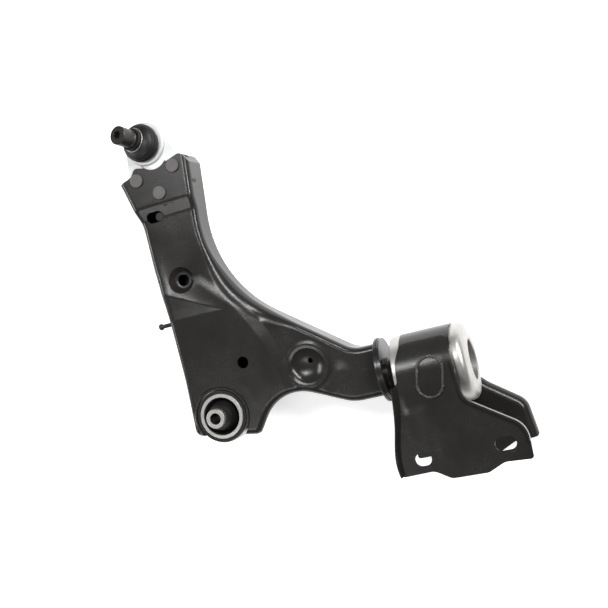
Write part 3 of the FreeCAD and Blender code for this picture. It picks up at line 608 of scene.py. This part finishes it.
def tail_weld():
    """Seam round the arm's tail where the flange disc is welded on."""
    path = []
    steps = 60
    for step in range(steps):
        angle = math.radians(SEAM_START_DEG + SEAM_TURN_DEG * step / (steps - 1))
        path.append(SEAM_AT + Vector((0, SEAM_HALF_WIDTH * math.cos(angle),
                                      -SEAM_HALF_HEIGHT * math.sin(angle))))
    bead("tail_weld_bead", path, SEAM_BEAD_R, body_of("tail_flange"), seed=9.4)


# ---- ball joint boot ---------------------------------------------------------------------------
# Profiles are (radius, height over the ball centre) in mm, from the cuff up to the neck.
BOOT_OUTSIDE = ((19.3, 10.7), (19.2, 12.4), (20.9, 13.6), (21.3, 15.2), (21.1, 17.0), (20.1, 18.6),
                (17.6, 20.7), (14.6, 22.0), (12.9, 22.7), (12.5, 23.6), (12.5, 28.4), (12.1, 29.0))
BOOT_INSIDE = ((18.0, 10.7), (18.1, 12.4), (19.0, 14.0), (19.2, 15.4), (18.9, 17.0), (18.0, 18.6),
               (15.6, 19.8), (12.0, 21.2), (10.7, 22.5), (10.6, 25.0), (10.6, 28.4), (10.7, 29.0))
CUFF_TOP, LEAN_TOP = 12.4, 22.6     # the rings turn from level to square to the stud between these
SPLIT_POINT = 5                     # profile point where the two halves meet


def smooth_profile(points, per_span):
    """Catmull-Rom samples through (radius, height) points."""
    samples = []
    for index in range(len(points) - 1):
        corners = [Vector(points[max(0, min(len(points) - 1, index + step))]) for step in (-1, 0, 1, 2)]
        before, start, end, after = corners
        for step in range(per_span):
            t = step / per_span
            samples.append(0.5 * (2 * start + (end - before) * t
                                  + (2 * before - 5 * start + 4 * end - after) * t * t
                                  + (3 * start - before - 3 * end + after) * t ** 3))
    samples.append(Vector(points[-1]))
    return samples


def boot_centre(height):
    """Centre and normal of the ring at a height: level at the cuff, square to the stud at the neck."""
    share = min(1.0, max(0.0, height - CUFF_TOP) / (LEAN_TOP - CUFF_TOP))
    normal = (Vector((0, 0, 1)) * (1 - share) + STUD_DIR * share).normalized()
    centre = BALL + Vector((0, 0, height)) * (1 - share) + STUD_DIR * height * share
    return centre, normal


def boot_ring(radius, height, around):
    """Points of one ring of the boot, in mm."""
    centre, normal = boot_centre(height)
    side = normal.cross(Vector((0, 1, 0))).normalized()
    other = normal.cross(side)
    angles = [2 * math.pi * step / around for step in range(around)]
    return [centre + (side * math.cos(angle) + other * math.sin(angle)) * radius for angle in angles]


def boot_part(name, lower):
    """Closed band of the boot below or above the ring where its two halves meet."""
    per_span, around = 3, 72
    split = SPLIT_POINT * per_span
    outside = smooth_profile(BOOT_OUTSIDE, per_span)
    inside = smooth_profile(BOOT_INSIDE, per_span)
    outside = outside[:split + 1] if lower else outside[split:]
    inside = inside[:split + 1] if lower else inside[split:]
    loop = outside + inside[::-1]
    bm = bmesh.new()
    rings = [[bm.verts.new(point * MM) for point in boot_ring(radius, height, around)]
             for radius, height in loop]
    for index in range(len(rings)):
        ring, following = rings[index], rings[(index + 1) % len(rings)]
        for step in range(around):
            far = (step + 1) % around
            bm.faces.new((ring[step], ring[far], following[far], following[step]))
    bmesh.ops.recalc_face_normals(bm, faces=bm.faces)
    for face in bm.faces:
        face.smooth = True
    mesh = bpy.data.meshes.new(name)
    bm.to_mesh(mesh)
    bm.free()
    piece = bpy.data.objects.new(name, mesh)
    bpy.context.scene.collection.objects.link(piece)
    return piece


def shape_boot():
    """The boot in two halves, below and above the ring where they meet."""
    lower, upper = boot_part("boot_lower_half", True), boot_part("boot_upper_half", False)
    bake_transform(lower)
    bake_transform(upper)
    for half in (lower, upper):
        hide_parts("ball_boot")
        dress(half, "black_rubber")


# ---- stage, light and camera -------------------------------------------------------------------
FLOOR_SIZE, FLOOR_DROP = 8.0, 0.001
FLOOR_GLOW = 0.62           # light of its own, so that shadows on it stay faint
WORLD_STRENGTH = 0.20
CAMERA_AZIMUTH, CAMERA_ELEVATION, CAMERA_ROLL = (math.radians(angle) for angle in (85.98, 72.56, -100.0))
CAMERA_AIM, CAMERA_DISTANCE = Vector((0.1195, 0.0996, 0.0)), 1.1013
CAMERA_SENSOR, CAMERA_LENS = 36.0, 59.2


def add_floor():
    """Plain pale floor just below the part."""
    low = CAD_BOX[0]
    middle = (CAD_BOX[0] + CAD_BOX[1]) / 2
    bpy.ops.mesh.primitive_plane_add(size=FLOOR_SIZE, location=(middle.x, middle.y, low.z - FLOOR_DROP))
    floor = bpy.context.object
    floor.name = "floor"
    shaded, clean = (0.90, 0.90, 0.90), (0.92, 0.92, 0.92)
    g = Graph("pale_floor")
    color = g.mix(g.noise(scale=3), shaded, clean)
    rough = g.vary(g.noise(scale=200), 0.85, 0.95)
    floor.data.materials.append(g.finish(color, rough, None, emission_color=(1, 1, 1, 1),
                                         emission_strength=FLOOR_GLOW))


def add_area(name, place, aim, size, power):
    """Rectangular lamp at place, turned to aim."""
    lamp = bpy.data.lights.new(name, "AREA")
    lamp.shape = "RECTANGLE"
    lamp.size, lamp.size_y = size
    lamp.energy = power
    holder = bpy.data.objects.new(name, lamp)
    bpy.context.scene.collection.objects.link(holder)
    holder.location = place
    holder.rotation_euler = (Vector(aim) - Vector(place)).to_track_quat("-Z", "Y").to_euler()


def add_lights():
    """Long strip for the bends and small lamps that only sloping faces mirror to the camera."""
    add_area("strip_right", place=(0.74, 0.56, 0.80), aim=(0.08, 0.14, 0.0), size=(1.10, 0.10), power=16)
    add_area("key_top", place=(-0.06, 0.44, 0.98), aim=(0.22, 0.01, 0.04), size=(0.14, 0.20), power=2.6)
    add_area("haze_top", place=(-0.22, 0.61, 1.10), aim=(-0.05, 0.14, 0.0), size=(0.62, 0.20), power=2.4)
    add_area("low_front", place=(-0.32, -0.34, 1.00), aim=(0.0, 0.11, 0.0), size=(0.50, 0.26), power=2.4)
    add_area("soft_left", place=(-0.95, 0.35, 0.50), aim=(0.0, 0.15, 0.0), size=(0.5, 0.2), power=5)


def add_world():
    """Even white surroundings."""
    world = bpy.data.worlds.new("studio")
    world.use_nodes = True
    background = world.node_tree.nodes["Background"]
    background.inputs["Color"].default_value = (1.0, 1.0, 1.0, 1.0)
    background.inputs["Strength"].default_value = WORLD_STRENGTH
    bpy.context.scene.world = world


def add_camera():
    """Looks down on the stud side, a little from the right, with the ball joint up."""
    level = math.cos(CAMERA_ELEVATION)
    back = Vector((math.sin(CAMERA_AZIMUTH) * level, -math.cos(CAMERA_AZIMUTH) * level,
                   math.sin(CAMERA_ELEVATION)))
    data = bpy.data.cameras.new("camera")
    data.sensor_width = CAMERA_SENSOR
    data.lens = CAMERA_LENS
    camera = bpy.data.objects.new("camera", data)
    bpy.context.scene.collection.objects.link(camera)
    camera.location = CAMERA_AIM + back * CAMERA_DISTANCE
    turn = (-back).to_track_quat("-Z", "Y").to_matrix().to_4x4()
    camera.rotation_euler = (turn @ Matrix.Rotation(CAMERA_ROLL, 4, "Z")).to_euler()
    bpy.context.scene.camera = camera


# ---- build -------------------------------------------------------------------------------------
for part in frame["record"]["subparts"]:
    dress(NODES[part["node"]], part["material_slot"])
    NODES[part["node"]].data.shade_smooth()

NODES["corner_bush_inner_sleeve"].data.materials[0] = SLEEVE_FINISH
shape_arm_top()
shape_front_plate()
oval_weld()
tail_weld()
shape_boot()

add_floor()
add_world()
add_lights()
add_camera()
bpy.context.scene.view_settings.view_transform = "Standard"
